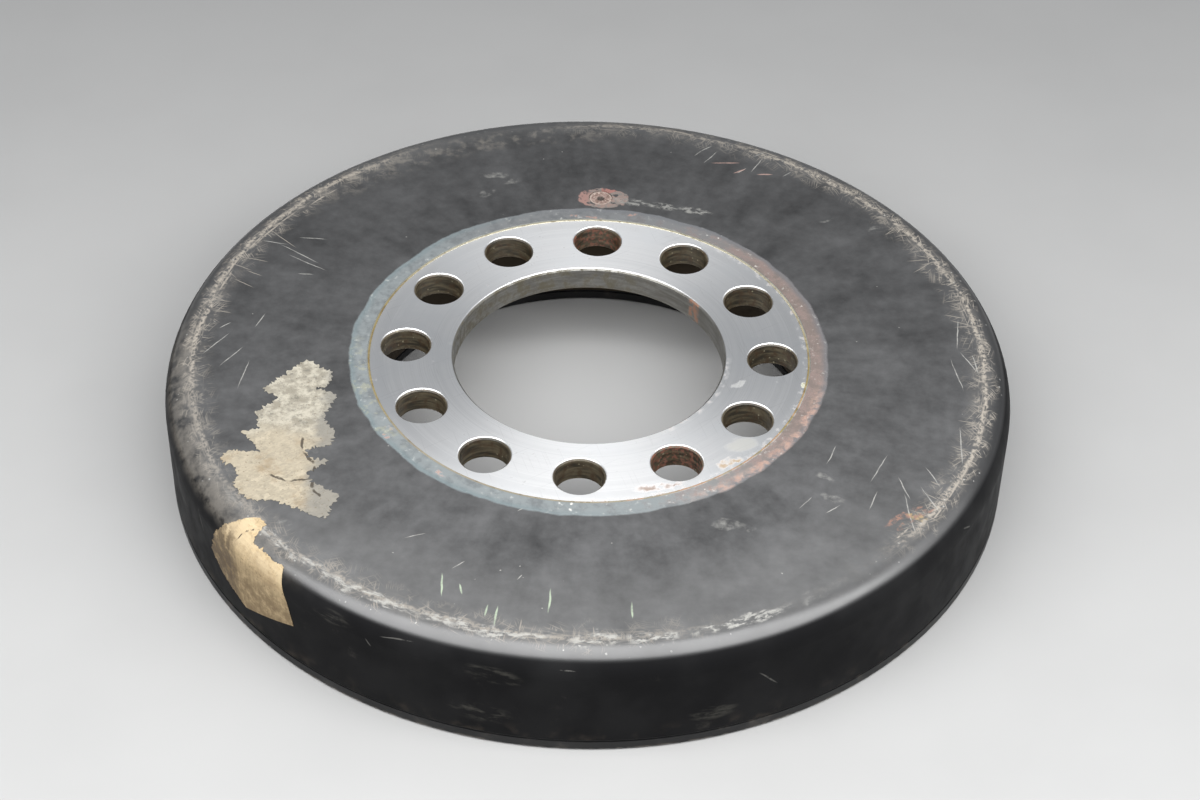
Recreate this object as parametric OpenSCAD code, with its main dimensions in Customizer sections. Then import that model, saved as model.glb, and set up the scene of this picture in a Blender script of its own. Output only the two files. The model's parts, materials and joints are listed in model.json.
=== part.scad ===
// Viscous torsional vibration damper for the crankshaft of a heavy diesel engine.
//
// A pressed steel channel, closed at the back by a flat cover, makes a sealed ring-shaped chamber
// round a machined mounting flange. A heavy inertia ring floats in the chamber on a split bearing
// band and small thrust pads, and turns through a thin film of silicone fluid.
//
// Origin: centre of the rear face. +Z runs along the axis towards the machined mounting face.
// One bolt hole and the fill plug lie on +Y. All sizes are in millimetres.

/* [Housing] */
// Outer diameter of the housing
housing_d = 299; // [292:1:320]
// Height from the rear face to the painted front face
housing_h = 41.5; // [39:0.5:52]
// Thickness of the pressed steel wall
wall_t = 4.5; // [4:0.5:5]
// Outside radius of the pressed outer corner
corner_r = 10; // [8:0.5:12]
// Thickness of the rear cover at its rim
cover_t = 4; // [3.5:0.5:5]

/* [Mounting flange] */
// Diameter of the centre bore
bore_d = 96; // [88:1:100]
// Diameter of the bolt circle
bolt_circle_d = 130; // [126:1:132]
// Number of bolt holes
bolt_count = 12; // [6:1:12]
// Diameter of a bolt hole
bolt_hole_d = 17; // [13:0.5:18]
// Diameter of the machined front face
face_d = 155; // [153:1:156]
// Thickness of the flange at the bore
flange_t = 9.5; // [8:0.5:12]
// Depth of the machined face below the painted face
face_drop = 0.3; // [0.2:0.1:0.8]
// Chamfer on the edges of the bore and of the bolt holes
edge_chamfer = 0.8; // [0.4:0.1:1]
// Diameter of the recess behind the flange
recess_d = 164; // [160:1:164]

/* [Inertia ring] */
// Film of silicone fluid round the inertia ring
fluid_gap = 0.5; // [0.4:0.1:0.8]
// Running clearance of the bearing band on the inner wall
band_clearance = 0.08; // [0.05:0.01:0.1]
// Width of the bearing band
band_w = 18; // [12:1:22]
// Depth of the groove that holds the bearing band
band_groove = 2.5; // [2:0.5:4]
// Gap between the ends of the bearing band
band_split = 3; // [1:0.5:5]
// Thrust pads on each side of the inertia ring
pad_count = 6; // [6:1:6]
// Diameter of a thrust pad
pad_d = 16; // [10:1:20]
// Depth of a thrust pad in the inertia ring
pad_depth = 4; // [3:0.5:6]
// Running clearance of a thrust pad on the housing
pad_clearance = 0.1; // [0.05:0.05:0.2]

/* [Plugs] */
// Diameter of the fill and vent plugs
plug_d = 9; // [8:0.5:9]
// Distance of the plugs from the axis
plug_r = 92; // [92:0.5:96]
// Depth of a plug below the surface around it
plug_drop = 0.2; // [0.1:0.1:0.5]

/* [Welds] */
// Width of the weld round the flange
flange_weld_w = 1; // [0.8:0.1:1.4]
// Height of the weld groove between the channel and the cover
seam_h = 1; // [0.8:0.1:1.4]
// Depth of that groove into the wall
seam_depth = 3; // [2:0.5:3]
// How far the weld lies below the wall's surface
seam_drop = 0.3; // [0.2:0.1:0.5]

/* [Paper labels] */
// Thickness of the paper
label_t = 0.15; // [0.1:0.05:0.3]
// Gap left for the glue under the paper
label_gap = 0.05; // [0.02:0.01:0.1]

/* [Hidden] */
$fn = 96;
housing_r = housing_d / 2;
bore_r = bore_d / 2;
bolt_circle_r = bolt_circle_d / 2;
face_r = face_d / 2;
recess_r = recess_d / 2;

// Heights above the rear face
face_z = housing_h - face_drop;
flange_back_z = face_z - flange_t;
lip_back_z = housing_h - wall_t;
seam_z = cover_t;
cover_ridge_h = 1;
chamber_floor_z = cover_t + cover_ridge_h;

// Fluid chamber
chamber_in_r = recess_r + wall_t;
chamber_out_r = housing_r - wall_t;
chamber_corner_r = corner_r - wall_t;
chamber_inner_corner_r = 1;
ridge_clearance = 0.15;

// Inertia ring
ring_in_r = chamber_in_r + fluid_gap;
ring_out_r = chamber_out_r - fluid_gap;
ring_back_z = chamber_floor_z + fluid_gap;
ring_front_z = lip_back_z - fluid_gap;
ring_mid_z = (ring_back_z + ring_front_z) / 2;
ring_edge = 1;
band_out_r = ring_in_r + band_groove;
pad_circle_r = (ring_in_r + ring_out_r) / 2;
pad_proud = fluid_gap - pad_clearance;

rear_edge_chamfer = 0.6;
dimple_d = 3;
dimple_depth = 1.4;
plug_edge = 0.5;
cut = 1; // how far a cutting solid runs past the face that it cuts

// Torn outline of the flat label, from its upper tip along the inner edge and back round
upper_label_outline = [
    [-99, -11], [-89, -17], [-90, -25], [-94, -26.5], [-86, -29], [-89, -42], [-84.5, -48],
    [-84.5, -55], [-93, -58], [-92, -62], [-84.5, -63], [-91, -69], [-89, -74], [-79, -79],
    [-82, -91], [-86, -90], [-101, -83], [-109, -83.5], [-114, -78], [-115, -68], [-121, -65],
    [-119, -60], [-108, -60], [-116, -50], [-110, -48], [-113, -40], [-106, -32], [-112, -27.5]];
// Angles, counted from +X towards +Y, between which the wrapped label lies, and its reach
lower_label_angles = [215.5, 233];
lower_label_in_r = 138.6;
lower_label_bottom_z = 10.5;

bearing_bronze = [0.66, 0.47, 0.24];
cast_grey = [0.36, 0.36, 0.37];
black_paint = [0.10, 0.10, 0.11];
bright_steel = [0.74, 0.75, 0.76];
weld_gold = [0.62, 0.50, 0.28];
rusty_steel = [0.55, 0.43, 0.38];
pad_green = [0.30, 0.42, 0.36];
aged_paper = [0.72, 0.66, 0.55];

// ---------------------------------------------------------------- shared shapes

// Rectangle of a half section, from radius r0 to r1 and from height z0 to z1
module section(r0, r1, z0, z1) {
    translate([r0, z0]) square([r1 - r0, z1 - z0]);
}

// What a round of the given radius takes off the upper corner at (r, z);
// side is 1 for an outer corner and -1 for an inner one
module round_off(r, z, radius, side) {
    translate([r - side * radius, z - radius]) difference() {
        translate([side > 0 ? 0 : -radius - cut, 0]) square(radius + cut);
        circle(r = radius);
    }
}

// What a chamfer takes off the corner at (r, z); the corner points along (dr, dz)
module chamfer_off(r, z, size, dr, dz) {
    reach = size + cut;
    translate([r, z])
        polygon([[dr * cut, -dz * reach], [dr * cut, dz * cut], [-dr * reach, dz * cut]]);
}

// Half section of the channel's outside, down to height z0, grown outward by skin
module channel_outline(r0, z0, skin) {
    difference() {
        section(r0, housing_r + skin, z0, housing_h + skin);
        round_off(housing_r + skin, housing_h + skin, corner_r + skin, 1);
    }
}

// Round hole along Z from z0 to z1, chamfered at both mouths
module chamfered_hole(d, z0, z1, chamfer) {
    translate([0, 0, z0 - cut]) cylinder(d = d, h = z1 - z0 + 2 * cut);
    for (end = [[z0, 1], [z1, -1]])
        translate([0, 0, end[0]]) mirror([0, 0, end[1] < 0 ? 1 : 0])
            translate([0, 0, -cut])
                cylinder(d1 = d + 2 * (chamfer + cut), d2 = d, h = chamfer + cut);
}

// Solid plug along +Z with its outer end at z = 0: bevelled rim and a centre punch mark
module peened_plug(length) {
    difference() {
        rotate_extrude() difference() {
            section(0, plug_d / 2, -length, 0);
            chamfer_off(plug_d / 2, 0, plug_edge, 1, 1);
        }
        translate([0, 0, -dimple_depth])
            cylinder(d1 = 0.4, d2 = dimple_d, h = dimple_depth + 0.001);
    }
}

// Thrust pad standing on z = 0, with a bevelled running face
module thrust_pad() {
    rotate_extrude() difference() {
        section(0, pad_d / 2, 0, pad_depth + pad_proud);
        chamfer_off(pad_d / 2, pad_depth + pad_proud, pad_proud / 2, 1, 1);
    }
}

// Places its children once for each thrust pad of one side
module at_pad(i) {
    rotate([0, 0, (i - 0.5) * 360 / pad_count]) translate([pad_circle_r, 0, 0]) children();
}

// ---------------------------------------------------------------- housing body

// Thick machined ring that bolts to the crankshaft
module mounting_flange() {
    color(bright_steel) difference() {
        rotate_extrude() difference() {
            union() {
                section(bore_r, face_r, flange_back_z, face_z);
                section(face_r - cut, recess_r, flange_back_z, lip_back_z);
            }
            chamfer_off(bore_r, face_z, edge_chamfer, -1, 1);
            chamfer_off(bore_r, flange_back_z, edge_chamfer, -1, -1);
            chamfer_off(recess_r, flange_back_z, edge_chamfer, 1, -1);
        }
        for (i = [0:bolt_count - 1])
            rotate([0, 0, 90 + i * 360 / bolt_count]) translate([bolt_circle_r, 0, 0])
                chamfered_hole(bolt_hole_d, flange_back_z, face_z, edge_chamfer);
    }
}

// Seam that joins the flange to the channel's lip
module flange_weld() {
    color(weld_gold) rotate_extrude()
        section(face_r, face_r + flange_weld_w, lip_back_z, face_z + face_drop / 2);
}

// Pressed channel: lip, inner wall, front wall, rounded corner and outer wall in one piece
module housing_channel() {
    color(black_paint) difference() {
        rotate_extrude() difference() {
            union() {
                channel_outline(recess_r, seam_z, 0);
                section(face_r + flange_weld_w, recess_r + cut, lip_back_z, housing_h);
            }
            difference() {
                section(chamber_in_r, chamber_out_r, seam_z - cut, lip_back_z);
                round_off(chamber_out_r, lip_back_z, chamber_corner_r, 1);
                round_off(chamber_in_r, lip_back_z, chamber_inner_corner_r, -1);
            }
            section(housing_r - seam_depth, housing_r + cut, seam_z - cut, seam_z + seam_h / 2);
            section(recess_r - cut, recess_r + seam_depth, seam_z - cut, seam_z + seam_h / 2);
        }
        translate([0, plug_r, lip_back_z - cut]) cylinder(d = plug_d, h = wall_t + 2 * cut);
    }
}

// Flat plate that closes the chamber, with a ridge that centres it in the channel
module rear_cover() {
    color(black_paint) difference() {
        rotate_extrude() difference() {
            union() {
                section(recess_r, housing_r, 0, cover_t);
                section(chamber_in_r + ridge_clearance, chamber_out_r - ridge_clearance,
                        cover_t - cut, chamber_floor_z);
            }
            section(housing_r - seam_depth, housing_r + cut, seam_z - seam_h / 2, seam_z + cut);
            section(recess_r - cut, recess_r + seam_depth, seam_z - seam_h / 2, seam_z + cut);
            chamfer_off(housing_r, 0, rear_edge_chamfer, 1, -1);
            chamfer_off(recess_r, 0, rear_edge_chamfer, -1, -1);
        }
        translate([0, -plug_r, -cut]) cylinder(d = plug_d, h = chamber_floor_z + 2 * cut);
    }
}

// Half section of a seam between channel and cover, its rounded bead towards side
module seam_section(surface_r, side) {
    bead_r = seam_h / 2;
    bead_centre = surface_r - side * (seam_drop + bead_r);
    root = surface_r - side * seam_depth;
    section(min(root, bead_centre), max(root, bead_centre), seam_z - bead_r, seam_z + bead_r);
    translate([bead_centre, seam_z]) circle(r = bead_r);
}

module outer_cover_weld() {
    color(black_paint) rotate_extrude() seam_section(housing_r, 1);
}

module inner_cover_weld() {
    color(black_paint) rotate_extrude() seam_section(recess_r, -1);
}

// Plug of the hole through which the silicone fluid was filled
module fill_plug() {
    color(rusty_steel) translate([0, plug_r, housing_h - plug_drop])
        peened_plug(wall_t - 2 * plug_drop);
}

// Plug of the hole through which the air left
module vent_plug() {
    color(rusty_steel) translate([0, -plug_r, plug_drop]) mirror([0, 0, 1])
        peened_plug(chamber_floor_z - 2 * plug_drop);
}

// Flat paper remnant on the front face
module upper_label() {
    color(aged_paper) translate([0, 0, housing_h + label_gap]) linear_extrude(label_t)
        polygon(upper_label_outline);
}

// Paper remnant that wraps over the rounded corner and down the outer wall
module lower_label() {
    sweep = lower_label_angles[1] - lower_label_angles[0];
    color(aged_paper) rotate([0, 0, lower_label_angles[0]]) rotate_extrude(angle = sweep)
        difference() {
            channel_outline(lower_label_in_r, lower_label_bottom_z, label_gap + label_t);
            channel_outline(lower_label_in_r - cut, lower_label_bottom_z - cut, label_gap);
        }
}

// ---------------------------------------------------------------- inertia body

// Heavy steel ring that the fluid drags round
module inertia_ring() {
    color(cast_grey) difference() {
        rotate_extrude() difference() {
            section(ring_in_r, ring_out_r, ring_back_z, ring_front_z);
            round_off(ring_out_r, ring_front_z, chamber_corner_r - fluid_gap, 1);
            round_off(ring_in_r, ring_front_z, chamber_inner_corner_r - fluid_gap, -1);
            chamfer_off(ring_out_r, ring_back_z, ring_edge, 1, -1);
            chamfer_off(ring_in_r, ring_back_z, ring_edge, -1, -1);
            section(ring_in_r - cut, band_out_r, ring_mid_z - band_w / 2, ring_mid_z + band_w / 2);
        }
        for (i = [1:pad_count]) at_pad(i) {
            translate([0, 0, ring_front_z - pad_depth]) cylinder(d = pad_d, h = pad_depth + cut);
            translate([0, 0, ring_back_z - cut]) cylinder(d = pad_d, h = pad_depth + cut);
        }
    }
}

// Split bush that carries the ring on the channel's inner wall
module bearing_band() {
    color(bearing_bronze) difference() {
        rotate_extrude()
            section(chamber_in_r + band_clearance, band_out_r,
                    ring_mid_z - band_w / 2, ring_mid_z + band_w / 2);
        translate([0, -band_split / 2, 0]) cube([housing_r, band_split, housing_h]);
    }
}

module front_thrust_pad(i) {
    color(pad_green) at_pad(i) translate([0, 0, ring_front_z - pad_depth]) thrust_pad();
}

module rear_thrust_pad(i) {
    color(pad_green) at_pad(i) translate([0, 0, ring_back_z + pad_depth]) mirror([0, 0, 1])
        thrust_pad();
}

// ---------------------------------------------------------------- nodes

mounting_flange();
flange_weld();
housing_channel();
rear_cover();
outer_cover_weld();
inner_cover_weld();
fill_plug();
vent_plug();
upper_label();
lower_label();
inertia_ring();
bearing_band();
for (i = [1:pad_count])
    front_thrust_pad(i);
for (i = [1:pad_count])
    rear_thrust_pad(i);
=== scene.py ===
import json
import math
import random

import bmesh
import bpy
from mathutils import Matrix, Vector, geometry, noise


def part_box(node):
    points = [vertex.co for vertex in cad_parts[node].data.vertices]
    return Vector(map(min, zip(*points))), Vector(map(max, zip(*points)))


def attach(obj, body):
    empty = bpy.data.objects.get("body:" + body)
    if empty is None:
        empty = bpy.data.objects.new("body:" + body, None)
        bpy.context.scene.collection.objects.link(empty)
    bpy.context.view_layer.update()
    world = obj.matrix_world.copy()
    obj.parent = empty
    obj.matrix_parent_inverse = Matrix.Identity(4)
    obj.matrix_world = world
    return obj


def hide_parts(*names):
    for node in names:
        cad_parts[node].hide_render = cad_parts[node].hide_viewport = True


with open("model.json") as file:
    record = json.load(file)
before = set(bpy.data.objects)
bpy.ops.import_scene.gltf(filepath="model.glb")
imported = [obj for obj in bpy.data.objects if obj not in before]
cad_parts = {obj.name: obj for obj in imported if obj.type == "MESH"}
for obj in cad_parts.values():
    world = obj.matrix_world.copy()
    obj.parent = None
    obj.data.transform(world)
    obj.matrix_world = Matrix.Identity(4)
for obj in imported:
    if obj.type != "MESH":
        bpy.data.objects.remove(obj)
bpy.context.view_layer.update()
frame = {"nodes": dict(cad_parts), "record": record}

# ---------------------------------------------------------------- sizes, in millimetres

MM = 0.001
mount_dims = {mount["name"]: mount["dims"] for mount in frame["record"]["mounts"]}
BORE_R = mount_dims["centre_bore"]["r_mm"]
BOLT_CIRCLE_R = mount_dims["bolt_circle"]["pcd_mm"] / 2


def low(node, axis):
    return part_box(node)[0][axis] / MM


def high(node, axis):
    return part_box(node)[1][axis] / MM


def inner_radius(node):
    """Least distance of a node's mesh from the axis."""
    return min(vertex.co.xy.length for vertex in frame["nodes"][node].data.vertices) / MM


def middle_of(node):
    """Middle of a node's box, seen from above."""
    return Vector(((low(node, 0) + high(node, 0)) / 2, (low(node, 1) + high(node, 1)) / 2))


FRONT_Z = high("housing_channel", 2)
FACE_Z = high("mounting_flange", 2)
FLANGE_BACK_Z = low("mounting_flange", 2)
RECESS_R = high("mounting_flange", 0)
FACE_R = inner_radius("flange_weld")
SEAM_OUT_R = high("flange_weld", 0)
HOUSING_R = high("housing_channel", 0)
CORNER_R = 10
FLAT_R = HOUSING_R - CORNER_R
BARE_RING_W = 6
BARE_OUT_R = SEAM_OUT_R + BARE_RING_W
EDGE_CHAMFER = 0.8


# ---------------------------------------------------------------- node trees


def srgb(red, green, blue):
    """Linear colour of an sRGB colour given as three numbers up to 255."""

    def linear(value):
        value /= 255
        return value / 12.92 if value <= 0.04045 else ((value + 0.055) / 1.055) ** 2.4

    return (linear(red), linear(green), linear(blue), 1)


class Graph:
    """The node tree of one material. Lengths are in millimetres. Each call adds a node and
    returns its output socket, and layer() lays one finish over what is there already."""

    def __init__(self, name, colour, rough, metal=0.0, specular=0.5):
        self.material = bpy.data.materials.new(name)
        self.material.use_nodes = True
        self.tree = self.material.node_tree
        self.shader = self.tree.nodes["Principled BSDF"]
        self.shader.inputs["Specular IOR Level"].default_value = specular
        self.colour, self.rough, self.metal, self.height = colour, rough, metal, None
        self.place = self.node("ShaderNodeTexCoord").outputs["Object"]
        self.mm = self.vector("SCALE", self.place, scale=1 / MM)
        split = self.node("ShaderNodeSeparateXYZ")
        self.feed(split.inputs[0], self.mm)
        self.x, self.y, self.z = split.outputs
        self.flat = self.join(self.x, self.y, 0.0)
        self.r = self.vector("LENGTH", self.flat)
        self.out = self.vector("NORMALIZE", self.flat)

    def node(self, kind, **settings):
        made = self.tree.nodes.new(kind)
        for name, value in settings.items():
            setattr(made, name, value)
        return made

    def feed(self, socket, value):
        if isinstance(value, bpy.types.NodeSocket):
            self.tree.links.new(value, socket)
        else:
            socket.default_value = value

    def calc(self, operation, *values, clamp=False):
        made = self.node("ShaderNodeMath", operation=operation, use_clamp=clamp)
        for socket, value in zip(made.inputs, values):
            self.feed(socket, value)
        return made.outputs[0]

    def vector(self, operation, *values, scale=None):
        made = self.node("ShaderNodeVectorMath", operation=operation)
        for socket, value in zip(made.inputs, values):
            self.feed(socket, value)
        if scale is not None:
            self.feed(made.inputs["Scale"], scale)
        gives_number = operation in ("LENGTH", "DISTANCE", "DOT_PRODUCT")
        return made.outputs["Value" if gives_number else "Vector"]

    def join(self, x, y, z):
        made = self.node("ShaderNodeCombineXYZ")
        for socket, value in zip(made.inputs, (x, y, z)):
            self.feed(socket, value)
        return made.outputs[0]

    def fade(self, value, start, end):
        """0 up to start, 1 from end on, and smooth between them; end may be the smaller."""
        made = self.node("ShaderNodeMapRange", interpolation_type="SMOOTHSTEP")
        self.feed(made.inputs["Value"], value)
        self.feed(made.inputs["From Min"], start)
        self.feed(made.inputs["From Max"], end)
        return made.outputs["Result"]

    def both(self, *shares):
        total = shares[0]
        for share in shares[1:]:
            total = self.calc("MULTIPLY", total, share)
        return total

    def either(self, *shares):
        total = shares[0]
        for share in shares[1:]:
            total = self.calc("MAXIMUM", total, share)
        return total

    def within(self, value, start, full, full_end, end):
        return self.both(self.fade(value, start, full), self.fade(value, end, full_end))

    def mix(self, share, first, second):
        made = self.node("ShaderNodeMix", data_type="RGBA")
        self.feed(made.inputs[0], share)
        self.feed(made.inputs[6], first)
        self.feed(made.inputs[7], second)
        return made.outputs[2]

    def slide(self, share, first, second):
        """The number between first and second that lies share of the way along."""
        made = self.node("ShaderNodeMix", data_type="FLOAT")
        self.feed(made.inputs[0], share)
        self.feed(made.inputs[2], first)
        self.feed(made.inputs[3], second)
        return made.outputs[0]

    def moved(self, at, seed, unit):
        if not seed:
            return at
        made = self.node("ShaderNodeMapping")
        self.feed(made.inputs["Vector"], at)
        made.inputs["Location"].default_value = (17.3 * seed * unit, 5.1 * seed * unit, 9.7 * unit)
        return made.outputs[0]

    def noise(self, size, detail=2.0, rough=0.5, at=None, seed=0.0, colour=False):
        """Noise with lumps about size across; each seed gives a field of its own."""
        made = self.node("ShaderNodeTexNoise")
        unit = size * MM if at is None else size
        where = self.moved(self.place if at is None else at, seed, unit)
        self.feed(made.inputs["Vector"], where)
        made.inputs["Scale"].default_value = 1 / unit
        made.inputs["Detail"].default_value = detail
        made.inputs["Roughness"].default_value = rough
        return made.outputs["Color" if colour else "Fac"]

    def cloud(self, size, start, end, **settings):
        return self.fade(self.noise(size, **settings), start, end)

    def shaken(self, at, size, reach, seed=0.0):
        """Coordinates pushed about by up to half of reach, so that straight things bend."""
        push = self.vector("SUBTRACT", self.noise(size, at=at, seed=seed, colour=True), (0.5,) * 3)
        return self.vector("ADD", at, self.vector("SCALE", push, scale=reach))

    def framed(self, at, middle, degrees, length, width):
        """Coordinates in which a box of that length and width, so turned, spans 0 to 1."""
        made = self.node("ShaderNodeMapping", vector_type="TEXTURE")
        self.feed(made.inputs["Vector"], at)
        made.inputs["Location"].default_value = (middle[0], middle[1], 0)
        made.inputs["Rotation"].default_value = (0, 0, math.radians(degrees))
        made.inputs["Scale"].default_value = (length, width, 1e6)
        return made.outputs[0]

    def blob(self, at, middle, length, width, degrees=0.0):
        """0 in the middle of an ellipse and 1 on its edge, growing with the square of the way."""
        turned = math.radians(degrees)
        total = None
        for angle, reach in ((turned, length / 2), (turned + math.pi / 2, width / 2)):
            across = (math.cos(angle) / reach, math.sin(angle) / reach, 0)
            offset = across[0] * middle[0] + across[1] * middle[1]
            way = self.calc("SUBTRACT", self.vector("DOT_PRODUCT", at, across), offset)
            total = self.calc("MULTIPLY", way, way) if total is None \
                else self.calc("MULTIPLY_ADD", way, way, total)
        return total

    def nearest(self, distances):
        least = distances[0]
        for distance in distances[1:]:
            least = self.calc("MINIMUM", least, distance)
        return least

    def marks(self, at, strokes, width):
        """Thin strokes, each from one point to another, strongest along their middle."""
        distances = []
        for start, end in strokes:
            step = Vector(end) - Vector(start)
            middle = (Vector(start) + Vector(end)) / 2
            turned = math.degrees(math.atan2(step.y, step.x))
            distances.append(self.blob(at, middle, step.length, width, turned))
        return self.fade(self.nearest(distances), 1, 0.3)

    def hairs(self, at, degrees, length, width, share, seed=0.0):
        """Short parallel scratches scattered over the surface; share of them are there."""
        where = self.framed(at, (31 * seed, 17 * seed), degrees, length, width)
        made = self.node("ShaderNodeTexVoronoi", voronoi_dimensions="2D")
        self.feed(made.inputs["Vector"], where)
        made.inputs["Scale"].default_value = 1
        drawn = self.node("ShaderNodeSeparateColor")
        self.feed(drawn.inputs[0], made.outputs["Color"])
        present = self.fade(drawn.outputs[0], share, share * 0.6)
        return self.both(self.fade(made.outputs["Distance"], 0.42, 0.1), present)

    def dots(self, size, spacing, share, seed):
        made = self.node("ShaderNodeTexVoronoi", voronoi_dimensions="3D")
        where = self.vector("ADD", self.shaken(self.mm, size, size * 0.8), (3 * seed, seed, 0))
        self.feed(made.inputs["Vector"], where)
        made.inputs["Scale"].default_value = 1 / spacing
        drawn = self.node("ShaderNodeSeparateColor")
        self.feed(drawn.inputs[0], made.outputs["Color"])
        present = self.fade(drawn.outputs[0], share, share * 0.6)
        edge = size / 2 / spacing
        return self.both(self.fade(made.outputs["Distance"], edge, edge * 0.5), present)

    def unrolled(self, over):
        """Coordinates along the rounded corner and past its start, as rim_point() gives them."""
        angle = self.calc("ARCTAN2", self.y, self.x)
        return self.join(self.calc("MULTIPLY", angle, FLAT_R), over, 0.0)

    def towards(self, degrees, inner, outer):
        """1 within inner degrees of a direction about the axis, 0 beyond outer degrees."""
        angle = math.radians(degrees)
        facing = self.vector("DOT_PRODUCT", self.out, (math.cos(angle), math.sin(angle), 0))
        return self.fade(facing, math.cos(math.radians(outer)), math.cos(math.radians(inner)))

    def layer(self, share, colour=None, rough=None, metal=None):
        if colour is not None:
            self.colour = self.mix(share, self.colour, colour)
        if rough is not None:
            self.rough = self.slide(share, self.rough, rough)
        if metal is not None:
            self.metal = self.slide(share, self.metal, metal)

    def gloss(self, weight, rough, index):
        """A clear glossy film over the finish, as strong as weight says."""
        self.feed(self.shader.inputs["Coat Weight"], weight)
        self.shader.inputs["Coat Roughness"].default_value = rough
        self.shader.inputs["Coat IOR"].default_value = index

    def lift(self, share, reach):
        """Adds relief: share times reach, in millimetres."""
        if self.height is None:
            self.height = self.calc("MULTIPLY", share, reach)
        else:
            self.height = self.calc("MULTIPLY_ADD", share, reach, self.height)

    def done(self):
        self.feed(self.shader.inputs["Base Color"], self.colour)
        self.feed(self.shader.inputs["Roughness"], self.rough)
        self.feed(self.shader.inputs["Metallic"], self.metal)
        if self.height is not None:
            bump = self.node("ShaderNodeBump")
            bump.inputs["Distance"].default_value = MM
            self.feed(bump.inputs["Height"], self.height)
            self.feed(self.shader.inputs["Normal"], bump.outputs[0])
        return self.material


# ---------------------------------------------------------------- materials

PAINT = (0.006, 0.006, 0.0064, 1)
DUST = (0.098, 0.0985, 0.10, 1)
SCUFF = (0.24, 0.218, 0.188, 1)
WHITE_MARK = (0.27, 0.267, 0.25, 1)
PINK_MARK = (0.28, 0.19, 0.165, 1)
GREEN_MARK = (0.27, 0.32, 0.24, 1)
RUST_MARK = (0.205, 0.118, 0.09, 1)

# Where wear gathers. Each zone is a range of degrees about the axis, a range of the second
# coordinate, how many strokes, their usual length in millimetres and direction in degrees.
# On the painted face the second coordinate is the share of the way out to the rounded corner.
PALE_ZONES = [
    ((-35, 10), (0.7, 1.0), 9, 18, 100), ((-45, -20), (0.2, 0.7), 5, 12, 50),
    ((150, 165), (0.5, 0.9), 5, 15, -15), ((165, 190), (0.6, 0.9), 5, 13, 60),
    ((55, 75), (0.7, 1.0), 7, 8, 50), ((240, 300), (0.0, 0.6), 4, 7, 40)]
PINK_ZONES = [((60, 75), (0.7, 0.9), 3, 14, 25)]
GREEN_ZONES = [((250, 295), (0.7, 0.9), 6, 9, 95)]
RUST_ZONES = [((-38, -32), (0.85, 1.0), 6, 12, 45)]
SMUDGE_ZONES = [
    ((295, 305), (0.2, 0.4), 3, 9, 10), ((105, 115), (0.3, 0.6), 3, 9, 20),
    ((200, 225), (0.5, 0.9), 5, 13, 0), ((315, 325), (0.3, 0.5), 2, 9, -30),
    ((35, 50), (0.6, 0.9), 2, 9, 5)]
# On the rounded corner and the wall it is the way past the corner's start, in millimetres
CREST_LINE_ZONES = [
    ((140, 168), (-4, 1), 7, 24, 0), ((-45, -20), (-2, 2), 4, 18, 0), ((50, 80), (1, 2), 2, 14, 0)]
CREST_STROKE_ZONES = [
    ((0, 40), (-6, 0), 10, 10, 95), ((145, 175), (-10, -1), 11, 11, 90),
    ((-35, -10), (-6, 0), 5, 10, 90), ((-110, -85), (-3, 1), 3, 7, 90)]
WALL_STROKE_ZONES = [((-170, 170), (12, 40), 15, 9, 20)]
WALL_SMEAR_ZONES = [((-170, 170), (15, 40), 12, 15, 0)]


def polar(degrees, radius):
    angle = math.radians(degrees)
    return Vector((math.cos(angle), math.sin(angle))) * radius


def face_point(degrees, share):
    """A point of the painted face; share runs from the bare ring, 0, to the corner, 1."""
    return polar(degrees, BARE_OUT_R + share * (FLAT_R - BARE_OUT_R))


def rim_point(degrees, past):
    """A point in the unrolled coordinates of the corner and the wall."""
    return Vector((math.radians(degrees) * FLAT_R, past))


def scattered(zones, seed, place=face_point, turn=25):
    """Random strokes in the zones, each turned by up to turn degrees from its direction."""
    draw = random.Random(seed)
    strokes = []
    for (first, last), (inner, outer), count, length, direction in zones:
        for _ in range(count):
            middle = place(draw.uniform(first, last), draw.uniform(inner, outer))
            half = polar(direction + draw.uniform(-turn, turn), length * draw.uniform(0.2, 0.7))
            strokes.append((middle - half, middle + half))
    return strokes


def patches(strokes, thickness=0.45):
    """Ellipses as long as the strokes, in the form that blob() takes."""
    made = []
    for start, end in strokes:
        step = end - start
        turned = math.degrees(math.atan2(step.y, step.x))
        made.append(((start + end) / 2, step.length, step.length * thickness, turned))
    return made


def crack(start, direction, steps, seed):
    """Jagged path of short strokes, each setting out from the end of the last."""
    draw = random.Random(seed)
    strokes = []
    for _ in range(steps):
        end = start + polar(direction + draw.uniform(-35, 35), draw.uniform(5, 9))
        strokes.append((start, end))
        start = end
    return strokes


def paint_coat(g):
    """Black enamel with its faint waves and orange peel, shared by all painted pieces."""
    g.layer(g.cloud(22, 0.35, 0.7, detail=3), colour=(0.010, 0.010, 0.0104, 1))
    g.rough = g.slide(g.cloud(9, 0.3, 0.75, detail=3), 0.42, 0.56)
    g.lift(g.noise(14, detail=1), 0.10)
    g.lift(g.noise(1.6, detail=2, seed=3), 0.006)


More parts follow.
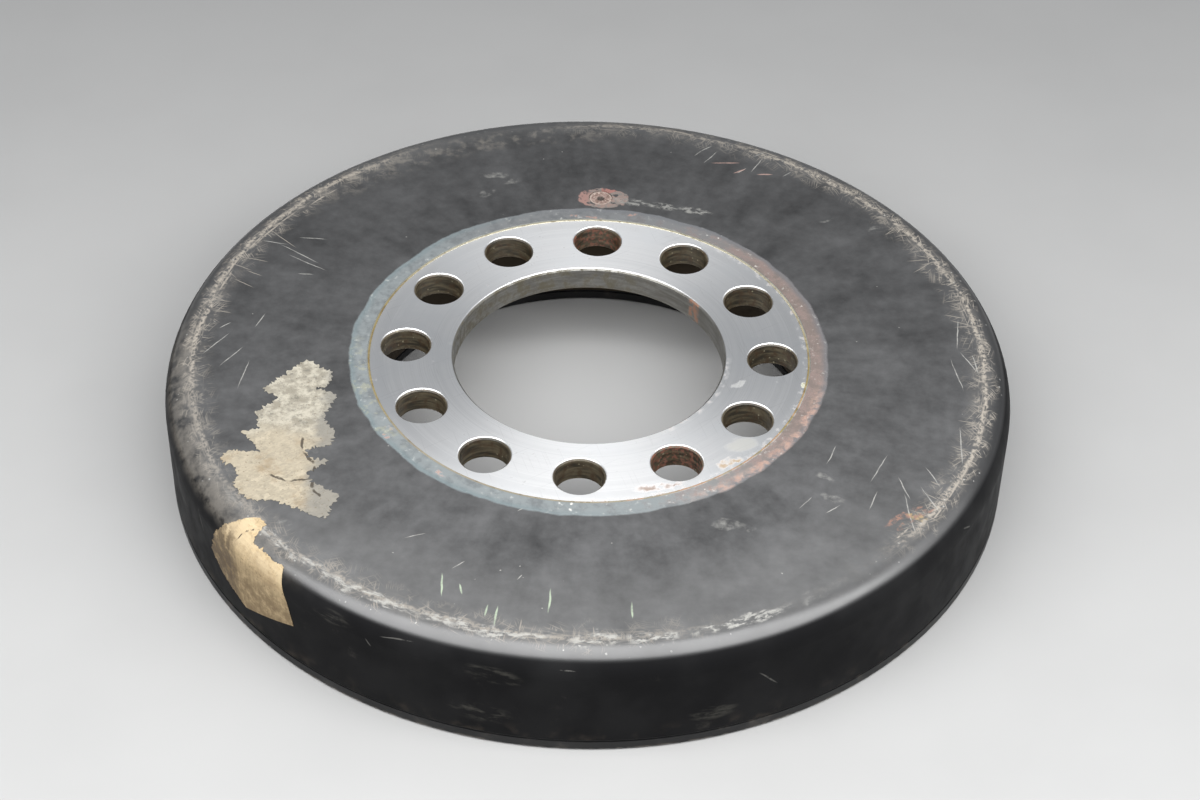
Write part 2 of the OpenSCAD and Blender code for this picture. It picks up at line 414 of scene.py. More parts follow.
def bare_ring(g):
    """Heat-tinted bare steel between the weld and the ragged edge of the paint."""
    ragged = g.calc("ADD", g.r, g.slide(g.noise(12, detail=4, rough=0.55, seed=1), -1.5, 1.5))
    share = g.fade(ragged, BARE_OUT_R + 0.6, BARE_OUT_R - 0.8)
    tint = g.mix(g.towards(5, 25, 80), srgb(157, 163, 164), srgb(146, 133, 127))
    tint = g.mix(g.both(g.towards(90, 15, 50), 0.8), tint, srgb(140, 140, 141))
    tint = g.mix(g.both(g.cloud(4, 0.42, 0.7, detail=5, rough=0.65), 0.6), tint, srgb(116, 119, 121))
    outer = g.fade(ragged, BARE_OUT_R - 3.0, BARE_OUT_R)
    tint = g.mix(g.both(outer, g.towards(-165, 50, 100), 0.6), tint, srgb(130, 146, 150))
    tint = g.mix(g.both(outer, g.towards(20, 60, 100), 0.7), tint, srgb(128, 130, 134))
    g.layer(share, colour=tint, rough=0.42, metal=0.72)
    rusty = g.both(share, g.towards(0, 45, 95), g.cloud(4, 0.42, 0.62, detail=5, rough=0.7),
                   g.fade(ragged, BARE_OUT_R, BARE_OUT_R - 2.5))
    g.layer(g.both(rusty, 0.5), colour=srgb(130, 105, 97), rough=0.7, metal=0.2)
    salmon = g.both(share, g.towards(-36, 14, 32), g.fade(ragged, SEAM_OUT_R + 1.5, SEAM_OUT_R + 4),
                    g.cloud(3, 0.4, 0.62, detail=5, rough=0.65))
    g.layer(g.both(salmon, 0.65), colour=srgb(158, 126, 110), rough=0.7, metal=0.1)
    ring_width = (SEAM_OUT_R + 1, BARE_OUT_R - 1)
    spot_zones = [((210, 260), ring_width, 3, 6, -50), ((75, 100), ring_width, 2, 15, 0)]
    spots = g.both(share, g.marks(g.shaken(g.mm, 2, 2.5), scattered(spot_zones, 1, polar), 2.2),
                   g.cloud(2, 0.42, 0.58, detail=4))
    g.layer(g.both(spots, 0.75), colour=srgb(136, 106, 95), rough=0.75, metal=0.0)
    flecks = g.both(share, g.dots(1.5, 3.4, 0.4, 2),
                    g.either(g.towards(-60, 40, 75), g.towards(35, 20, 50)))
    g.layer(g.both(flecks, 0.8), colour=srgb(184, 182, 176), rough=0.6, metal=0.1)
    smears = g.both(share, g.cloud(2.2, 0.58, 0.72, detail=5, rough=0.7, seed=4))
    g.layer(g.both(smears, 0.6), colour=srgb(180, 180, 175), rough=0.6, metal=0.2)
    olive = g.both(share, g.towards(200, 12, 26), g.cloud(3, 0.5, 0.66, detail=4, seed=7))
    g.layer(g.both(olive, 0.45), colour=srgb(148, 146, 118), rough=0.6, metal=0.4)
    g.lift(g.fade(ragged, BARE_OUT_R - 0.3, BARE_OUT_R + 0.3), 0.05)
    return share


def rim_wear(g, over):
    """Paint rubbed through along the crest of the rounded corner; over is the way past it."""
    rim = g.unrolled(over)
    bent = g.shaken(rim, 12, 1.3, seed=2)
    heavy = g.either(g.towards(40, 18, 34), g.towards(-4, 26, 42), g.towards(160, 22, 44))
    light = g.either(g.towards(190, 14, 30), g.towards(72, 14, 30), g.towards(-112, 22, 46))
    side = g.slide(g.either(heavy, g.both(light, 0.6)), 0.05, 1.0)
    crest_line = g.calc("ADD", over, g.slide(g.noise(20, detail=4, rough=0.6, seed=6), -3.2, 2.8))
    patches = g.cloud(1.7, 0.45, 0.54, detail=5, rough=0.7, seed=6)
    solid = g.both(g.within(crest_line, -1.5, -0.4, 0.3, 1.5), patches)
    rubbed = g.noise(1, detail=2.5, rough=0.6, at=g.framed(rim, (0, 0), 1.5, 22, 1.3), seed=1)
    rubbed = g.fade(g.calc("ABSOLUTE", g.calc("SUBTRACT", rubbed, 0.5)), 0.045, 0.0)
    rubbed = g.both(rubbed, g.within(crest_line, -5, -1.5, 1.5, 4.5), g.cloud(7, 0.42, 0.56, detail=3))
    whiskers = g.either(
        g.hairs(bent, 62, 8, 0.5, 0.36, seed=1), g.hairs(bent, 96, 7, 0.46, 0.36, seed=2),
        g.hairs(bent, 128, 9, 0.5, 0.36, seed=3), g.hairs(bent, 24, 12, 0.5, 0.34, seed=4))
    reach = g.calc("ADD", crest_line, g.slide(g.noise(8, detail=3, seed=7), -6, 4))
    whiskers = g.both(whiskers, g.within(reach, -10, -1, 1.5, 5.5), g.cloud(5, 0.4, 0.5, detail=3, seed=3))
    worn = g.both(g.either(solid, g.both(rubbed, 0.8), whiskers), side)
    lengthways = scattered(CREST_LINE_ZONES, 2, rim_point, turn=4)
    drawn = g.both(g.marks(bent, lengthways, 0.8), g.cloud(2, 0.34, 0.52, detail=3))
    crossways = scattered(CREST_STROKE_ZONES, 3, rim_point)
    drawn = g.either(drawn, g.both(g.marks(bent, crossways, 0.5), 0.7))
    worn = g.either(worn, g.both(drawn, 0.85))
    g.layer(worn, colour=SCUFF, rough=0.6)
    knocked = g.calc("ADD", over, g.slide(g.noise(11, detail=4, rough=0.65, seed=11), -6, 6))
    streaky = g.noise(1, detail=6, rough=0.74, at=g.framed(bent, (0, 0), -4, 4.4, 1.7), seed=12)
    knocked = g.both(g.within(knocked, -1.4, 0.6, 1.8, 3.6), g.towards(-99, 34, 50),
                     g.fade(streaky, 0.47, 0.56), g.cloud(13, 0.36, 0.5, detail=2, seed=15))
    g.layer(g.both(knocked, 0.8), colour=WHITE_MARK, rough=0.6)
    worn = g.either(worn, knocked)
    grazed = g.both(g.towards(116, 16, 32), g.within(over, -14, -7, -2, 1),
                    g.cloud(6, 0.46, 0.66, detail=6, rough=0.66, seed=13))
    g.layer(g.both(grazed, 0.28), colour=SCUFF, rough=0.6)
    dusty = g.both(g.towards(203, 14, 34), g.within(over, -2, 3, 9, 17),
                   g.cloud(5, 0.3, 0.64, detail=5, rough=0.66, seed=16))
    g.layer(g.both(dusty, 0.34), colour=SCUFF, rough=0.6)
    haze = g.both(side, g.within(over, -8, -1, 2, 6), g.cloud(6, 0.4, 0.75, detail=4, seed=8))
    g.layer(g.both(haze, 0.15), colour=SCUFF, rough=0.6)
    chips = g.both(g.dots(0.9, 2.6, 0.42, 3), g.within(over, -3, 1, 6, 10), g.slide(side, 0.5, 1))
    g.layer(g.both(chips, 0.8), colour=WHITE_MARK, rough=0.6)
    return worn


def wall_marks(g, over):
    """Scratches and smears on the outer wall."""
    rim = g.shaken(g.unrolled(over), 9, 2.0)
    strokes = scattered(WALL_STROKE_ZONES, 4, rim_point, turn=60)
    drawn = g.both(g.marks(rim, strokes, 0.7), g.cloud(2, 0.34, 0.5, detail=3))
    g.layer(g.both(drawn, 0.6), colour=(0.10, 0.098, 0.09, 1), rough=0.55)
    smears = patches(scattered(WALL_SMEAR_ZONES, 5, rim_point, turn=10))
    shapes = [g.blob(rim, *smear) for smear in smears]
    streaky = g.noise(1, detail=6, rough=0.7, at=g.framed(rim, (0, 0), 4, 8, 2.2), seed=14)
    smeared = g.both(g.fade(g.nearest(shapes), 1.2, 0.1), g.fade(streaky, 0.46, 0.66))
    g.layer(g.both(smeared, 0.4), colour=(0.075, 0.072, 0.062, 1), rough=0.55)


def front_marks(g, on_top):
    """Scratches, smudges, rust and specks scattered over the worn parts of the front face."""
    wavy = g.shaken(g.flat, 9, 1.2)
    broken = g.slide(g.cloud(2.6, 0.36, 0.6, detail=3), 0.5, 1.0)
    pale = g.both(g.marks(wavy, scattered(PALE_ZONES, 6), 0.5), broken, on_top)
    g.layer(g.both(pale, 0.75), colour=WHITE_MARK, rough=0.6)
    pink = g.both(g.marks(wavy, scattered(PINK_ZONES, 7), 0.9), broken, on_top)
    g.layer(g.both(pink, 0.8), colour=PINK_MARK, rough=0.65)
    green = g.both(g.marks(wavy, scattered(GREEN_ZONES, 8, turn=12), 0.8), broken, on_top)
    g.layer(g.both(green, 0.8), colour=GREEN_MARK, rough=0.6)
    rust = g.both(g.marks(g.shaken(g.flat, 4, 3), scattered(RUST_ZONES, 9), 2.0), on_top,
                  g.cloud(2.2, 0.42, 0.62, detail=5, rough=0.7))
    g.layer(g.both(rust, 0.8), colour=RUST_MARK, rough=0.75)
    ochre = g.blob(g.shaken(g.flat, 2, 3), face_point(-35, 0.95), 8, 4, -20)
    ochre = g.both(g.fade(ochre, 1.0, 0.3), on_top, g.cloud(1.5, 0.44, 0.6, detail=4, seed=1))
    g.layer(g.both(ochre, 0.55), colour=srgb(146, 128, 92), rough=0.75)
    shapes = [g.blob(g.shaken(g.flat, 4, 5, seed=3), *smudge)
              for smudge in patches(scattered(SMUDGE_ZONES, 10))]
    smudged = g.both(g.fade(g.nearest(shapes), 1.2, 0.2), on_top,
                     g.cloud(2.6, 0.36, 0.74, detail=6, rough=0.66, seed=5))
    g.layer(g.both(smudged, 0.42), colour=WHITE_MARK, rough=0.65)


def plug_surround(g):
    """Chipped paint round the fill plug and the scuff that runs off from it."""
    centre = middle_of("fill_plug")
    ragged = g.shaken(g.flat, 2.5, 2.6, seed=9)
    chipped = g.fade(g.blob(ragged, (centre[0] + 1, centre[1] - 0.4), 20, 13), 1.0, 0.86)
    metal = g.mix(g.cloud(1.8, 0.4, 0.6, detail=4), srgb(112, 106, 102), srgb(124, 108, 102))
    left = g.fade(g.x, centre[0] - 3.5, centre[0] - 5.5)
    metal = g.mix(left, metal, srgb(132, 106, 100))
    upper = g.fade(g.blob(g.shaken(g.flat, 2, 2), (centre[0] + 3, centre[1] + 5), 7, 4), 1, 0.5)
    metal = g.mix(upper, metal, srgb(134, 98, 92))
    g.layer(g.both(chipped, g.cloud(2.2, 0.3, 0.46, detail=4, seed=6)), colour=metal, rough=0.62, metal=0.2)
    g.lift(chipped, -0.04)
    trail = g.nearest([g.blob(ragged, centre + polar(-10, way), 15, 4.5, -10) for way in (12, 24, 36)])
    streaky = g.noise(1, detail=6, rough=0.72, at=g.framed(ragged, (0, 0), -10, 3.6, 1.5), seed=2)
    trail = g.both(g.fade(trail, 1.2, 0.3), g.fade(streaky, 0.46, 0.62))
    g.layer(g.both(trail, 0.55), colour=WHITE_MARK, rough=0.6)


def black_paint():
    """Worn black enamel of the pressed channel, with the bare ring at its inner edge and painted light on
    the near side of its face.
    """
    g = Graph("black_paint", PAINT, 0.5, specular=0.04)
    paint_coat(g)
    over = g.calc("ADD", g.calc("SUBTRACT", g.r, FLAT_R), g.calc("SUBTRACT", FRONT_Z, g.z))
    on_top = g.fade(over, 9, -1)
    dust_and_near_light = g.slide(g.noise(26, detail=5, rough=0.6, seed=1), 0.15, 0.7)
    wiped = g.vector("ADD", g.vector("SCALE", g.out, scale=12), g.join(0.0, 0.0, g.calc(
        "MULTIPLY", g.r, 1 / 30)))
    dust_and_near_light = g.calc("ADD", dust_and_near_light, g.slide(g.noise(1, detail=4, at=wiped), -0.2, 0.2))
    dust_and_near_light = g.calc("ADD", dust_and_near_light, g.slide(g.noise(5, detail=4, rough=0.6, seed=2), -0.2, 0.2))
    # Dust heavier toward the near side. This is partly dust and partly painted light: the near face is
    # brightened where the overhead lamp falls.
    dust_and_near_light = g.both(dust_and_near_light, g.slide(g.towards(-90, 0, 140), 0.94, 1.3))
    g.layer(g.both(on_top, dust_and_near_light), colour=DUST, rough=0.5)
    # Lighter paint on the outer face toward the near side: a painted sheen that stands in for the overhead
    # lamp's reflection.
    painted_near_sheen = g.both(g.towards(-90, 30, 75), g.fade(g.r, 100, 128), on_top)
    g.layer(g.both(painted_near_sheen, 0.2), colour=(0.16, 0.16, 0.158, 1))
    g.layer(g.both(g.dots(0.8, 7, 0.3, 1), on_top, 0.6), colour=WHITE_MARK, rough=0.6)
    low_dirt = g.both(g.fade(g.z, 12, 3), g.cloud(7, 0.5, 0.75, detail=5, seed=3))
    g.layer(g.both(low_dirt, 0.3), colour=srgb(82, 74, 66), rough=0.6)
    side_marks = g.both(g.fade(over, 14, 22), g.cloud(10, 0.6, 0.8, detail=6, rough=0.7, seed=9))
    g.layer(g.both(side_marks, 0.15), colour=srgb(100, 96, 90), rough=0.5)
    wall_marks(g, over)
    worn = rim_wear(g, over)
    front_marks(g, on_top)
    plug_surround(g)
    bare = bare_ring(g)
    recess = g.both(g.fade(g.r, HOUSING_R - 20, RECESS_R + 3), g.fade(g.z, FACE_Z - 1, FACE_Z - 3))
    g.layer(recess, colour=srgb(70, 62, 52), rough=0.5)
    film = g.both(g.within(over, -9, 1, 9, 12), g.slide(worn, 1.0, 0.1), g.slide(bare, 1.0, 0.0))
    g.gloss(g.both(film, g.slide(g.noise(18, detail=4, seed=4), 0.6, 1.0)), 0.30, 1.75)
    return g.done()


def cover_paint():
    """Black enamel of the rear cover and its seams, scuffed through where it rests."""
    g = Graph("cover_paint", PAINT, 0.38, specular=0.32)
    paint_coat(g)
    scratched = g.shaken(g.flat, 12, 6)
    scuffs = g.either(
        g.hairs(scratched, 15, 40, 1.5, 0.3, seed=1), g.hairs(scratched, 80, 34, 1.3, 0.3, seed=2),
        g.hairs(scratched, 140, 28, 1.2, 0.25, seed=3))
    under = g.fade(g.z, 0.5, 0.0)
    g.layer(g.both(scuffs, under, 0.6), colour=SCUFF, rough=0.55)
    g.layer(g.both(under, g.cloud(25, 0.45, 0.7, detail=5)), colour=srgb(74, 70, 66), rough=0.6)
    rim = g.both(g.fade(g.r, HOUSING_R - 1.2, HOUSING_R - 0.2), g.fade(g.z, 1.4, 0.2),
                 g.cloud(5, 0.45, 0.62, detail=4, rough=0.65))
    g.layer(g.both(rim, 0.7), colour=srgb(120, 112, 104), rough=0.5, metal=0.3)
    g.layer(g.both(g.cloud(6, 0.55, 0.8, detail=5, seed=2), 0.4), colour=srgb(84, 78, 72), rough=0.55)
    return g.done()


def turned_steel():
    """Bright turned face of the flange, with dirty hole walls, bore wall and back."""
    g = Graph("turned_steel", srgb(238, 238, 238), 0.46, metal=1.0)
    g.shader.inputs["Anisotropic"].default_value = 0.62
    g.shader.inputs["Anisotropic Rotation"].default_value = 0.25
    tangent = g.node("ShaderNodeTangent", direction_type="RADIAL", axis="Z")
    g.feed(g.shader.inputs["Tangent"], tangent.outputs[0])
    grooves = g.noise(0.55, detail=3, rough=0.7, at=g.join(g.r, 0.0, 0.0))
    broad = g.noise(4, detail=3, at=g.join(g.r, 0.0, 0.0))
    g.layer(g.both(g.fade(grooves, 0.4, 0.75), 0.35), colour=srgb(196, 197, 198))
    g.layer(g.both(g.fade(broad, 0.4, 0.7), 0.3), colour=srgb(206, 207, 208))
    g.layer(g.cloud(16, 0.4, 0.75, detail=5), colour=srgb(226, 227, 228), rough=0.48)
    g.lift(grooves, 0.004)
    on_face = g.fade(g.z, FACE_Z - 0.25, FACE_Z - 0.1)
    stains = g.both(on_face, g.cloud(3, 0.62, 0.74, detail=5, rough=0.7, seed=2))
    g.layer(g.both(stains, 0.35), colour=srgb(128, 124, 116), rough=0.5, metal=0.5)
    face_features(g, on_face)
    g.layer(g.calc("SUBTRACT", 1.0, on_face), colour=srgb(184, 184, 184), rough=0.5)
    hole_walls(g)
    return g.done()


def face_features(g, on_face):
    """Spots, smears and edge rust on the near right of the bright face."""
    soft = g.shaken(g.flat, 5, 4)
    olive = g.fade(g.blob(soft, polar(-40, BOLT_CIRCLE_R + 6), 13, 8, 20), 1.1, 0.3)
    g.layer(g.both(olive, on_face, 0.34), colour=srgb(116, 110, 74), rough=0.5, metal=0.3)
    pale = g.fade(g.blob(soft, polar(-15, BORE_R + 7), 8, 3, 30), 1, 0.4)
    g.layer(g.both(pale, on_face, 0.36), colour=srgb(110, 110, 100), rough=0.6, metal=0.2)
    white = g.fade(g.blob(soft, polar(-10, FACE_R - 1), 1.5, 3.5), 1, 0.6)
    g.layer(g.both(white, on_face), colour=srgb(156, 156, 140), rough=0.6, metal=0.0)
    rough = g.shaken(g.flat, 1.6, 2.4)
    outer_part = (BOLT_CIRCLE_R + 7, FACE_R - 2)
    amber = [g.blob(rough, *patch)
             for patch in patches(scattered([((-56, -40), outer_part, 3, 9, 40)], 11, polar))]
    amber = g.both(g.fade(g.nearest(amber), 1.3, 0.2), g.cloud(3.4, 0.3, 0.6, detail=4, rough=0.6))
    g.layer(g.both(amber, on_face, 0.85), colour=srgb(128, 102, 62), rough=0.6, metal=0.1)
    brown = [g.blob(rough, *patch) for patch in patches(
        scattered([((-70, -56), outer_part, 2, 12, 25)], 12, polar), thickness=0.3)]
    brown = g.both(g.fade(g.nearest(brown), 1.2, 0.2), g.cloud(3, 0.32, 0.62, detail=4))
    g.layer(g.both(brown, on_face, 0.85), colour=srgb(100, 75, 57), rough=0.7, metal=0.1)
    edge = g.both(g.fade(g.r, FACE_R - 2.3, FACE_R - 0.1),
                  g.cloud(2.5, 0.5, 0.66, detail=4, rough=0.65, seed=5),
                  g.either(g.towards(-50, 30, 60), g.towards(20, 20, 50)))
    g.layer(g.both(edge, on_face, 0.7), colour=srgb(100, 80, 60), rough=0.6, metal=0.1)
    bore_rust = g.both(g.fade(g.r, BORE_R + 3.2, BORE_R + 0.4), g.towards(-35, 16, 40),
                       g.cloud(3, 0.5, 0.68, detail=4, seed=6))
    g.layer(g.both(bore_rust, on_face, 0.6), colour=srgb(128, 104, 90), rough=0.6, metal=0.2)
    g.layer(g.both(g.dots(0.9, 9, 0.22, 4), on_face, 0.7), colour=srgb(58, 53, 46), rough=0.6, metal=0.1)
    hairs = g.either(
        g.hairs(g.flat, 35, 22, 0.5, 0.06, seed=3), g.hairs(g.flat, 110, 18, 0.45, 0.06, seed=4))
    g.layer(g.both(hairs, on_face, 0.14), colour=srgb(160, 160, 160), rough=0.5)


def hole_walls(g):
    """Oily brown dirt on everything below the chamfers, with rust in the far and near holes."""
    chamfer_end = FACE_Z - EDGE_CHAMFER
    below = g.fade(g.z, chamfer_end + 0.62, chamfer_end + 0.4)
    in_bore = g.fade(g.r, BORE_R + 1.4, BORE_R + 0.6)
    outside = g.calc("SUBTRACT", 1.0, in_bore)
    rings = g.noise(1.1, detail=3, rough=0.6, at=g.join(g.calc("MULTIPLY", g.x, 0.12),
                                                    g.calc("MULTIPLY", g.y, 0.12), g.z))
    grime = g.mix(g.fade(rings, 0.35, 0.65), srgb(36, 32, 23), srgb(78, 70, 54))
    grime = g.mix(g.cloud(2.6, 0.45, 0.7, detail=5, rough=0.65), grime, srgb(56, 42, 27))
    g.layer(g.both(below, outside), colour=grime, rough=0.45, metal=0.1)
    specks = g.both(below, outside, g.dots(0.8, 1.9, 0.45, 6))
    g.layer(g.both(specks, 0.7), colour=srgb(134, 128, 106), rough=0.6)
    red = g.both(below, outside, g.either(g.towards(90, 8, 14), g.towards(-60, 8, 14)),
                 g.cloud(1.5, 0.46, 0.62, detail=6, rough=0.68, seed=4))
    g.layer(g.both(red, 0.85), colour=srgb(104, 60, 44), rough=0.7, metal=0.0)
    wall = g.mix(g.fade(rings, 0.35, 0.7), srgb(108, 106, 101), srgb(130, 129, 125))
    wall_side = g.both(below, in_bore)
    g.layer(wall_side, colour=wall, rough=0.42, metal=0.8)
    dirty = g.both(wall_side, g.either(g.towards(125, 40, 75), 0.16),
                   g.cloud(3.5, 0.42, 0.62, detail=5, rough=0.65, seed=1))
    g.layer(g.both(dirty, 0.8), colour=srgb(70, 64, 46), rough=0.6, metal=0.2)
    spot = g.both(wall_side, g.fade(g.blob(g.shaken(g.flat, 3, 3), polar(40, BORE_R), 7, 6), 1.1, 0.5),
                  g.cloud(2, 0.4, 0.55, detail=4))
    g.layer(g.both(spot, 0.85), colour=srgb(122, 86, 66), rough=0.7, metal=0.0)
    back = g.fade(g.z, FLANGE_BACK_Z + 1.0, FLANGE_BACK_Z + 0.4)
    g.layer(back, colour=srgb(128, 118, 102), rough=0.5, metal=0.6)


def weld_gold():
    """Thin seam round the face: straw-coloured, browner to the right, and whiter far off, where the
    whiteness is a painted highlight.
    """
    g = Graph("weld_gold", srgb(164, 148, 104), 0.42, metal=0.7)
    g.layer(g.cloud(6, 0.4, 0.66, detail=4), colour=srgb(134, 116, 78))
    # Whiter on the far side: a painted highlight, because the seam's step faces the lamp there.
    g.layer(g.both(g.towards(80, 50, 85), 0.8), colour=srgb(206, 200, 178))
    g.layer(g.both(g.towards(-95, 35, 70), 0.6), colour=srgb(176, 170, 158))
    g.layer(g.both(g.towards(-48, 20, 45), g.cloud(4, 0.4, 0.6, detail=4)), colour=srgb(140, 112, 92),
            rough=0.6, metal=0.2)
    g.layer(g.both(g.cloud(1.6, 0.52, 0.66, detail=4, seed=3), 0.6), colour=srgb(112, 100, 72), rough=0.6)
    g.layer(g.both(g.fade(g.r, SEAM_OUT_R - 0.6, SEAM_OUT_R - 0.2), 0.8), colour=srgb(148, 152, 152))
    g.lift(g.noise(0.8, detail=3), 0.12)
    return g.done()


def rusty_steel():
    """Peened plug: pinkish rust with a pale rim and a dark centre punch."""
    g = Graph("rusty_steel", srgb(132, 112, 105), 0.66, metal=0.2)
    g.layer(g.cloud(1.4, 0.4, 0.62, detail=5, rough=0.65), colour=srgb(102, 84, 76), rough=0.74)
    g.layer(g.cloud(0.8, 0.54, 0.68, detail=3, seed=2), colour=srgb(164, 148, 138), rough=0.5)
    far_out = g.vector("DISTANCE", g.join(g.x, g.calc("ABSOLUTE", g.y), 0.0),
                       (0.0, middle_of("fill_plug").y, 0.0))
    rim = g.both(g.within(far_out, 3.4, 3.9, 4.3, 4.6), g.cloud(2.4, 0.32, 0.5, detail=3, seed=4))
    g.layer(g.both(rim, 0.7), colour=srgb(164, 150, 140), rough=0.5, metal=0.3)
    g.layer(g.fade(far_out, 1.9, 1.0), colour=srgb(48, 41, 36), rough=0.8, metal=0.0)
    g.lift(g.noise(0.7, detail=3), 0.08)
    return g.done()


def paper(name, tone, grey_from, crack):
    """Old torn label paper: fibres, brown dirt, greyer where only the last ply is left; the wrapped label
    also gets painted light on its upper part and painted shade on its wall part.
    """
    g = Graph(name, tone, 0.82, specular=0.25)
    fibre = g.noise(1.0, detail=6, rough=0.75, at=g.framed(g.flat, (0, 0), 35, 2.6, 1.0))
    plies = g.noise(7, detail=6, rough=0.68, seed=3)
    g.layer(g.both(g.fade(plies, 0.42, 0.52), 0.4), colour=tuple(0.72 * part for part in tone))
    g.layer(g.both(g.fade(plies, 0.56, 0.6), 0.6), colour=tuple(1.3 * part for part in tone))
    g.layer(g.both(g.fade(fibre, 0.42, 0.7), 0.5), colour=tuple(1.4 * part for part in tone))
    g.layer(g.both(g.cloud(9, 0.48, 0.72, detail=5, rough=0.6, seed=2), 0.6), colour=srgb(116, 98, 74))
    if grey_from is not None:
        grey = g.fade(g.calc("ADD", g.y, g.slide(g.noise(12, detail=3, seed=4), -9, 9)),
                      grey_from - 8, grey_from + 4)
        ply = g.mix(g.cloud(4, 0.4, 0.62, detail=6, rough=0.7, seed=5), srgb(116, 112, 102),
                    srgb(154, 150, 138))
        g.layer(g.both(grey, 0.85), colour=ply)
        thin = g.calc("ADD", g.x, g.slide(g.noise(9, detail=5, rough=0.6, seed=6), -6, 6))
        thin = g.fade(thin, high("upper_label", 0) - 14, high("upper_label", 0) - 8)
        g.layer(g.both(thin, 0.8), colour=srgb(106, 104, 99))
        worn = g.both(g.slide(grey, 0.45, 1.0), g.cloud(2.4, 0.53, 0.62, detail=6, rough=0.72, seed=7))
        g.layer(g.both(worn, 0.42), colour=srgb(72, 71, 68), rough=0.6)
    g.layer(g.both(g.cloud(0.9, 0.6, 0.72, detail=3, seed=3), 0.6), colour=srgb(84, 72, 56))
    if grey_from is None:
        streaks = g.noise(1, detail=6, rough=0.7, at=g.framed(g.flat, (0, 0), -50, 9, 3), seed=6)
        # Lighter tan on the label's upper part, over the corner: painted light from above, broken up by
        # streaks.
        painted_top_light = g.both(g.fade(g.z, 33, 38), g.fade(streaks, 0.35, 0.55))
        g.layer(g.both(painted_top_light, 0.6), colour=srgb(174, 158, 130))
        # Darker brown on the label's part down the wall: partly dirt and partly painted shade, where less
        # light falls than on the corner.
        wall_dirt_and_shade = g.both(g.fade(g.calc("ADD", g.z, g.slide(streaks, -9, 9)), 34, 24),
                        g.cloud(3.4, 0.3, 0.6, detail=6, rough=0.68, seed=8))
        g.layer(g.both(wall_dirt_and_shade, 0.75), colour=srgb(92, 76, 54), rough=0.7)
        left_edge = low("lower_label", 0)
        left = g.both(g.fade(g.calc("ADD", g.x, g.slide(streaks, -8, 8)), left_edge + 14, left_edge + 7),
                      g.cloud(3.4, 0.3, 0.56, detail=6, rough=0.68, seed=10))
        g.layer(g.both(left, 0.8), colour=srgb(72, 60, 46), rough=0.6)
        g.layer(g.both(g.fade(g.z, 16, 6), g.cloud(2.6, 0.45, 0.62, detail=5, rough=0.66, seed=9), 0.7),
                colour=srgb(96, 78, 56), rough=0.7)
    bent = g.shaken(g.flat, 3, 2.6)
    width, gap, solid = (0.9, 0.4, 0.56) if grey_from is None else (1.4, 0.24, 0.42)
    torn = g.both(g.marks(bent, crack, width), g.cloud(1.6, gap, solid, detail=4))
    g.layer(g.both(torn, 0.9), colour=srgb(56, 50, 43))
    g.lift(torn, -0.1)
    g.lift(fibre, 0.08)
    g.lift(plies, 0.25)
    return g.done()


def ring_steel():
    """Turned, oil-wet steel of the inertia ring."""
    g = Graph("ring_steel", srgb(150, 150, 152), 0.32, metal=1.0)
    rings = g.noise(0.9, detail=3, rough=0.6, at=g.join(g.r, g.z, 0.0))
    g.layer(g.fade(rings, 0.4, 0.7), colour=srgb(122, 122, 125), rough=0.4)
    g.layer(g.both(g.cloud(20, 0.45, 0.7, detail=4), 0.5), colour=srgb(112, 108, 100), rough=0.45)
    g.lift(rings, 0.01)
    return g.done()


def bronze():
    g = Graph("bronze", srgb(196, 158, 98), 0.34, metal=1.0)
    g.layer(g.cloud(12, 0.4, 0.7, detail=4), colour=srgb(168, 126, 74), rough=0.45)
    g.layer(g.both(g.cloud(3, 0.55, 0.75, detail=4, seed=2), 0.6), colour=srgb(110, 84, 56), rough=0.5)
    g.lift(g.noise(1.2, detail=3), 0.01)
    return g.done()


def pad_polymer():
    g = Graph("thrust_pad", srgb(96, 122, 108), 0.5)
    g.layer(g.cloud(2.5, 0.4, 0.7, detail=4), colour=srgb(78, 102, 92), rough=0.6)
    g.layer(g.both(g.cloud(0.9, 0.56, 0.7, detail=3, seed=2), 0.5), colour=srgb(140, 122, 84))
    g.lift(g.noise(0.9, detail=2), 0.01)
    return g.done()


# ---------------------------------------------------------------- pieces


def new_piece(name, mesh, material, slot, *nodes):
    piece = bpy.data.objects.new(name, mesh)
    bpy.context.scene.collection.objects.link(piece)
    mesh.materials.append(material)
    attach(piece, "housing")
    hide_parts(*nodes)
    return piece


def torn_outline(corners, straight, step=0.5, reach=1.0):
    """Outline through the corners, its edges torn except for the straight ones."""
    points = []
    for index, start in enumerate(corners):
        first, last = Vector(start), Vector(corners[(index + 1) % len(corners)])
        way = last - first
        side = Vector((-way.y, way.x)).normalized()
        count = max(2, round(way.length / step))
        for k in range(count):
            share = k / count
            at = first + way * share
            tear = noise.noise((at.x * 0.8, at.y * 0.8, 3)) + 0.9 * noise.noise((at.x * 1.9, at.y * 1.9, 8))
            fade = 0 if index in straight else min(1, 4 * share, 4 * (1 - share)) * 0.8 + 0.2
            points.append(at + side * tear * reach * fade)
    return points


def inside(point, outline):
    crossed = False
    for index, corner in enumerate(outline):
        other = outline[index - 1]
        if (corner.y > point.y) != (other.y > point.y):
            across = (other.x - corner.x) * (point.y - corner.y) / (other.y - corner.y) + corner.x
            crossed ^= point.x < across
    return crossed


PAPER_THICKNESS = 0.15
HIGHEST_LIFT = 0.195


